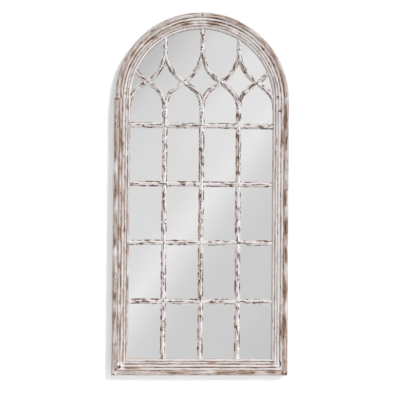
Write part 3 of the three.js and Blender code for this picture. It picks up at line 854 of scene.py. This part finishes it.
def make_lattice():
    bar = bar_section(BAR_WIDTH, BAR_THICKNESS)
    slim = bar_section(OGEE_WIDTH, OGEE_THICKNESS)
    span = SIGHT_R - SEAT_GAP
    pieces = {}
    for i, (word, x0) in enumerate(MULLIONS.items()):
        mullion = Wood(f"mullion_{word}", bar, BAR_WASH, BAR_STATION, 41 + i)
        between_crossings(
            mullion,
            lambda s, v, x0=x0: (x0 + v, s),
            constant(FACE_WIDTH + SEAT_GAP),
            constant(MULLION_TOP - SEAT_GAP),
            GLAZING_BAR_ZS,
        )
        finial = Wood(f"finial_{word}", slim, BAR_WASH, BAR_STATION, 51 + i)
        finial.sweep(
            lambda s, v, x0=x0: (x0 + v, s),
            constant(OGEE_HIGH_Z + SEAT_GAP),
            lambda v, x0=x0: sight_reach(x0 + v),
        )
        pieces.update({mullion.name: mullion, finial.name: finial})
    for i, z0 in enumerate(GLAZING_BAR_ZS):
        level = Wood(f"glazing_bar_{i + 1}", bar, BAR_WASH, BAR_STATION, 61 + i)
        between_crossings(
            level,
            lambda s, v, z0=z0: (s, z0 + v),
            constant(-span),
            constant(span),
            list(MULLIONS.values()),
        )
        pieces[level.name] = level
    for bay in range(4):
        left = (bay - 2) * MULLION_PITCH
        for word, start_x, direction in (
            ("rising", left, 1),
            ("falling", left + MULLION_PITCH, -1),
        ):
            seed = 71 + 2 * bay + (direction < 0)
            ogee = Wood(f"ogee_{bay + 1}_{word}", slim, BAR_WASH, BAR_STATION, seed)
            line = OgeeLine(start_x, direction)
            before, after = line.mitre(direction)
            low_start, low_end = line.in_opening(constant(SEAT_GAP), before)
            high_start, high_end = line.in_opening(after, constant(line.length - SEAT_GAP))
            ogee.sweep(line.place, low_start, low_end)
            ogee.sweep(line.place, high_start, high_end)
            pieces[ogee.name] = ogee
    return pieces


def make_wood():
    for name, wood in {**make_frame(), **make_lattice()}.items():
        wood.name = f"wood_{name}"
        dress(wood.make(), name)


# ---------------------------------------------------------------- hardware


def finish_work(name, work, material, sharp):
    mesh = bpy.data.meshes.new(name)
    work.to_mesh(mesh)
    work.free()
    return finish_mesh(name, mesh, material, sharp)


def lathe(name, profile, centre, material, facets=40, shape=None):
    """A round piece about the Y axis from (radius, h) points. shape(x, z, h) may move h."""
    work = bmesh.new()
    rings = []
    for radius, h in profile:
        ring = []
        for k in range(facets if radius > 0 else 1):
            angle = 2 * math.pi * k / facets
            x, z = radius * math.cos(angle), radius * math.sin(angle)
            depth = shape(x, z, h) if shape else h
            ring.append(work.verts.new(Vector((x, -depth, z)) * MM + centre))
        rings.append(ring)
    for a, b in zip(rings, rings[1:]):
        for k in range(facets):
            corners = [a[k % len(a)], a[(k + 1) % len(a)], b[(k + 1) % len(b)], b[k % len(b)]]
            work.faces.new(list(dict.fromkeys(corners)))
    return finish_work(name, work, material, 42.0)


def screw_profile():
    """From the point of the shank, through the thread, to the middle of the pan head."""
    root = SCREW_RADIUS * THREAD_ROOT
    points = [(0.0, SCREW_LENGTH), (SCREW_RADIUS * 0.8, SCREW_LENGTH - 2)]
    for k in range(THREAD_TURNS):
        h = SCREW_LENGTH - 3 - k * THREAD_PITCH
        points += [(SCREW_RADIUS, h), (root, h - THREAD_PITCH / 2)]
    points += [(root, 0.0), (SCREW_HEAD_RADIUS, 0.0)]
    for k in range(13):
        angle = math.pi / 2 * k / 12
        radius = SCREW_HEAD_RADIUS * math.cos(angle) ** 0.55
        rise = (SCREW_HEAD_HEIGHT - SCREW_HEAD_EDGE) * math.sin(angle)
        points.append((radius, -SCREW_HEAD_EDGE - rise))
    points[-1] = (0.0, -SCREW_HEAD_HEIGHT)
    inner = [(r, -SCREW_HEAD_HEIGHT) for r in (0.9, 0.6, 0.3)]
    return points[:-1] + inner + points[-1:]


def cross_recess(x, z, h):
    """Sinks the screw's cross, which is deepest in its middle."""
    if h > -1.2:
        return h
    arm, wide = max(abs(x), abs(z)), min(abs(x), abs(z))
    sunk = max(0.0, 1 - wide / RECESS_WIDTH) * max(0.0, 1 - (arm / RECESS_ARM) ** 4)
    return h + RECESS_DEPTH * min(1.0, 1.8 * sunk)


def make_screws():
    profile = screw_profile()
    for name in sorted(n for n in frame["nodes"] if n.startswith(("panel_screw", "hanger_screw"))):
        low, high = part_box(name)
        centre = (low + high) / 2
        centre.y = high.y - SCREW_HEAD_HEIGHT * MM
        screw = lathe(f"steel_{name}", profile, centre, ZINC, shape=cross_recess)
        dress(screw, name)


def make_bumpers():
    for word in SIDES:
        low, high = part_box(f"bumper_{word}")
        centre = (low + high) / 2
        centre.y = low.y
        tall = (high.y - low.y) / MM
        profile = [(0, 0), (BUMPER_RADIUS - 0.4, 0), (BUMPER_RADIUS, -0.4)]
        profile += [(BUMPER_RADIUS, -BUMPER_RIM), (BUMPER_FACE_RADIUS + 0.3, -tall + 1.2)]
        profile += [(BUMPER_FACE_RADIUS, -tall + 0.5), (BUMPER_FACE_RADIUS - 0.6, -tall)]
        profile += [(BUMPER_DIMPLE, -tall), (BUMPER_DIMPLE - 0.8, -tall + 0.5), (0, -tall + 0.6)]
        pad = lathe(f"rubber_bumper_{word}", profile, centre, RUBBER, 56)
        dress(pad, f"bumper_{word}")


def tube(name, path, radius, material, place, facets=14):
    """A closed ring of wire through the points of path, which lie in one x-z plane."""
    work = bmesh.new()
    rings = []
    count = len(path)
    for k, (x, z) in enumerate(path):
        before, after = path[k - 1], path[(k + 1) % count]
        tangent = Vector((after[0] - before[0], 0, after[1] - before[1])).normalized()
        side = tangent.cross(Vector((0, 1, 0)))
        ring = []
        for j in range(facets):
            angle = 2 * math.pi * j / facets
            off = radius * (math.cos(angle) * side + math.sin(angle) * Vector((0, 1, 0)))
            ring.append(work.verts.new(place @ (Vector((x, 0, z)) + off)))
        rings.append(ring)
    for k in range(count):
        a, b = rings[k], rings[(k + 1) % count]
        for j in range(facets):
            work.faces.new([a[j], a[(j + 1) % facets], b[(j + 1) % facets], b[j]])
    return finish_work(name, work, material, 60.0)


def arc_points(centre, radius, start, end, count):
    """Points (x, z) round a circle from one angle to another, in degrees."""
    angles = np.radians(np.linspace(start, end, count))
    return [(centre[0] + radius * math.cos(a), centre[1] + radius * math.sin(a)) for a in angles]


def ring_path():
    """The D: its straight bar, a short bend, one side, the bow, the other side and a bend."""
    half, bend = RING_WIDTH / 2, RING_BEND
    side = np.linspace(bend + 2, RING_SIDE - 1, 4)
    points = [(x, 0.0) for x in np.linspace(-half + bend, half - bend, 12)]
    points += arc_points((half - bend, bend), bend, -90, 0, 6)[1:]
    points += [(half, z) for z in side]
    points += arc_points((0, RING_SIDE), half, 0, 180, 30)
    points += [(-half, z) for z in side[::-1]]
    points += arc_points((bend - half, bend), bend, 180, 270, 6)[:-1]
    return points


def strap_outline(short):
    """The folded strap seen from its side as (z, y) points below and round the ring's bar. Its two
    leaves end `short` before their full length."""
    inner = RING_WIRE + RING_CLEARANCE
    outer = inner + STRAP_SHEET
    leaf_top = outer - 2 * STRAP_SHEET
    leaf_end = -math.sqrt(outer * outer - leaf_top * leaf_top)
    end, arris = -STRAP_LENGTH + short, STRAP_ARRIS
    points = [(end + arris, -outer), (0, -outer)]
    sweep = 1.5 * math.pi + math.asin(leaf_top / outer)
    for k in range(1, 28):
        angle = -math.pi / 2 + sweep * k / 28
        points.append((outer * math.cos(angle), outer * math.sin(angle)))
    points += [(leaf_end, -leaf_top), (end + arris, -leaf_top), (end, -leaf_top - arris)]
    points += [(end, -outer + STRAP_SHEET + arris / 2), (end + 0.5, -outer + STRAP_SHEET)]
    points += [(end, -outer + STRAP_SHEET - arris / 2), (end, -outer + arris)]
    return points


def make_strap(name, centre):
    """Slices across the strap, each with its own length so that the foot's corners are round."""
    half, arris, corner = STRAP_WIDTH / 2, STRAP_ARRIS, STRAP_CORNER
    work = bmesh.new()
    slices = []
    for x in np.concatenate([[-half], np.linspace(-half + arris, half - arris, 15), [half]]):
        over = max(0.0, abs(x) - (half - corner))
        short = corner - math.sqrt(max(corner * corner - over * over, 0.0))
        rim = STRAP_RIM if abs(x) > half - 0.1 else 0.0
        ring = []
        for z, y in strap_outline(short + rim):
            r = math.hypot(z, y)
            pull = 1 - rim / max(r, 1.0) if z > -2 else 1.0
            ring.append(work.verts.new(Vector((x, y * pull, z * pull)) * MM + centre))
        slices.append(ring)
    count = len(slices[0])
    for a, b in zip(slices, slices[1:]):
        for k in range(count):
            work.faces.new([a[k], a[(k + 1) % count], b[(k + 1) % count], b[k]])
    work.faces.new(slices[0])
    work.faces.new(slices[-1])
    return finish_work(name, work, ZINC, 40.0)


def make_hangers():
    x, h, z = RING_AXIS
    path = ring_path()
    lean = Matrix.Rotation(RING_LEAN, 4, "X") @ Matrix.Scale(MM, 4)
    for word, side in SIDES.items():
        centre = Vector((side * x, BACK_FACE_Y - h, z)) * MM
        place = Matrix.Translation(centre) @ lean
        ring = tube(f"steel_ring_{word}", path, RING_WIRE, ZINC, place)
        dress(ring, f"hanger_ring_{word}", f"ring_{word}")
        strap = make_strap(f"steel_strap_{word}", centre)
        dress(strap, f"hanger_strap_{word}")


def dress_kept_nodes():
    for name, material in MATERIALS.items():
        paint(frame["nodes"][name], material)
    for name, node in frame["nodes"].items():
        if "dowel" in name:
            paint(node, BEECH)


def paint(node, material):
    for slot in node.material_slots:
        slot.material = material


# ---------------------------------------------------------------- studio

# The next three are in metres.
WALL_Y = 0.023  # the wall touches the pads' faces
FLOOR_Z = -0.35
SHEET_REACH = 6
KEY_DIRECTION = (0.588, -0.572, 0.572)  # towards the lamp
KEY_STRENGTH = 2.20
REAR_DIRECTION = (0.25, 0.90, 0.35)
REAR_STRENGTH = 1.30
LAMP_ANGLE = math.radians(11)
FILL = 0.60
PAPER = 0.90
PAPER_SHADE = (0.84, 1.0, 1.14, 1)
PAPER_GLOW = 0.105  # seen by the camera only, so that the lit paper is white

# The grey that the mirror shows, by pixels of the photograph from upper left to lower right, across
# a bright band that runs from lower left to upper right.
BAND_FOCAL = 671.2  # about the camera's focal length in those pixels
BAND_ACROSS = (0.808, -0.589, -0.0087)  # camera's right, up and forward
BAND_ALONG = (0.589, 0.808, 0.0)
BAND_REACH = 0.25
MIRROR_SHARE = 0.915  # of the light, that the mirror gives back
BAND_GREYS = (
    (-150, 188), (-126, 193), (-105, 210), (-80, 217), (-26, 219),
    (0, 231), (30, 211), (55, 205), (100, 204), (140, 197),
)
# A fainter band beside it that gets brighter towards the upper right, and the upper left side, which
# is a little brighter below and darker above. Across and along are in the same pixels.
SECOND_RISE = (-66, -44)
SECOND_FALL = (-4, -34)
SECOND_ALONG = (-20, 120)
SECOND_STRENGTH = (0.0, 0.085)
CORNER_ACROSS = (-84, -108)
CORNER_ALONG = (20, 140)
CORNER_STRENGTH = (0.035, -0.055)


def paper(name):
    """White paper that keeps shadows, and that the camera sees through from behind."""
    s = Shader.material(name)
    diffuse = s.node("ShaderNodeBsdfDiffuse", {"Color": (PAPER, PAPER, PAPER, 1)})
    seen = s.node("ShaderNodeLightPath").outputs["Is Camera Ray"]
    glow = s.node(
        "ShaderNodeEmission", {"Color": PAPER_SHADE, "Strength": s.times(seen, PAPER_GLOW)}
    )
    both = s.node("ShaderNodeAddShader", {0: diffuse.outputs[0], 1: glow.outputs[0]}).outputs[0]
    behind = s.node("ShaderNodeNewGeometry").outputs["Backfacing"]
    clear = s.node("ShaderNodeBsdfTransparent").outputs[0]
    sheet = s.node("ShaderNodeMixShader", {0: behind, 1: both, 2: clear}).outputs[0]
    out = s.node("ShaderNodeOutputMaterial")
    s.put(out.inputs["Surface"], sheet)
    return s.owner


def make_sheet(name, corners, material):
    mesh = bpy.data.meshes.new(name)
    mesh.from_pydata(corners, [], [(0, 1, 2, 3)])
    mesh.materials.append(material)
    made = new_object(name, mesh)
    return made


def make_studio():
    """A white wall and floor, which the mirror doesn't show. The wall throws no light back and no
    shadow."""
    far = SHEET_REACH
    wall = make_sheet(
        "studio_wall",
        [(-far, WALL_Y, FLOOR_Z), (far, WALL_Y, FLOOR_Z), (far, WALL_Y, far), (-far, WALL_Y, far)],
        paper("wall_paper"),
    )
    floor = make_sheet(
        "studio_floor",
        [(-far, -far, FLOOR_Z), (far, -far, FLOOR_Z), (far, far, FLOOR_Z), (-far, far, FLOOR_Z)],
        paper("floor_paper"),
    )
    wall.visible_diffuse = False
    wall.visible_shadow = False
    for sheet in (wall, floor):
        sheet.visible_glossy = False


def make_lamp(name, direction, strength):
    data = bpy.data.lights.new(name, "SUN")
    data.energy = strength
    data.angle = LAMP_ANGLE
    lamp = new_object(name, data)
    lamp.rotation_euler = Vector(direction).to_track_quat("Z", "Y").to_euler()


def make_world(right, up, ahead):
    """Even pale light, white where the camera sees it, and in reflections a grey room with one
    broad bright band."""
    world = bpy.data.worlds.new("studio")
    world.use_nodes = True
    bpy.context.scene.world = world
    s = Shader(world.node_tree)
    direction = s.node("ShaderNodeTexCoord").outputs["Generated"]

    def measured(parts):
        """Pixels along a direction of the picture, for what the mirror's plane turns back."""
        axis = parts[0] * right + parts[1] * up + parts[2] * ahead
        axis.y = -axis.y
        made = s.node("ShaderNodeVectorMath", {0: direction, 1: axis}, operation="DOT_PRODUCT")
        return s.times(made.outputs["Value"], BAND_FOCAL)

    across, along = measured(BAND_ACROSS), measured(BAND_ALONG)
    reach = BAND_REACH * BAND_FOCAL
    place = s.node(
        "ShaderNodeMapRange", {"Value": across, "From Min": -reach, "From Max": reach}
    ).outputs["Result"]
    second = s.times(s.between(across, *SECOND_RISE), s.between(across, *SECOND_FALL))
    second = s.times(second, s.between(along, *SECOND_ALONG, *SECOND_STRENGTH))
    shade = s.between(along, *CORNER_ALONG, *CORNER_STRENGTH)
    corner = s.times(s.between(across, *CORNER_ACROSS), shade)
    strength = s.times(s.add(1.0, second, corner), 1 / MIRROR_SHARE)
    stops = [
        ((pixels / BAND_FOCAL + BAND_REACH) / (2 * BAND_REACH), srgb(grey, grey, grey))
        for pixels, grey in BAND_GREYS
    ]
    room = s.node(
        "ShaderNodeBackground", {"Color": s.ramp(place, stops), "Strength": strength}
    ).outputs[0]
    fill = s.node("ShaderNodeBackground", {"Color": (1, 1, 1, 1), "Strength": FILL}).outputs[0]
    white = s.node("ShaderNodeBackground", {"Color": (1, 1, 1, 1), "Strength": 1.0}).outputs[0]
    path = s.node("ShaderNodeLightPath")
    shown = s.node("ShaderNodeMixShader", {0: path.outputs["Is Glossy Ray"], 1: fill, 2: room})
    seen = path.outputs["Is Camera Ray"]
    shown = s.node("ShaderNodeMixShader", {0: seen, 1: shown.outputs[0], 2: white})
    out = s.node("ShaderNodeOutputWorld")
    s.put(out.inputs["Surface"], shown.outputs[0])


# ---------------------------------------------------------------- everything

make_world(*make_camera())
make_studio()
make_lamp("key_lamp", KEY_DIRECTION, KEY_STRENGTH)
make_lamp("rear_lamp", REAR_DIRECTION, REAR_STRENGTH)
make_wood()
make_screws()
make_bumpers()
make_hangers()
dress_kept_nodes()
bpy.context.scene.view_settings.view_transform = "Standard"
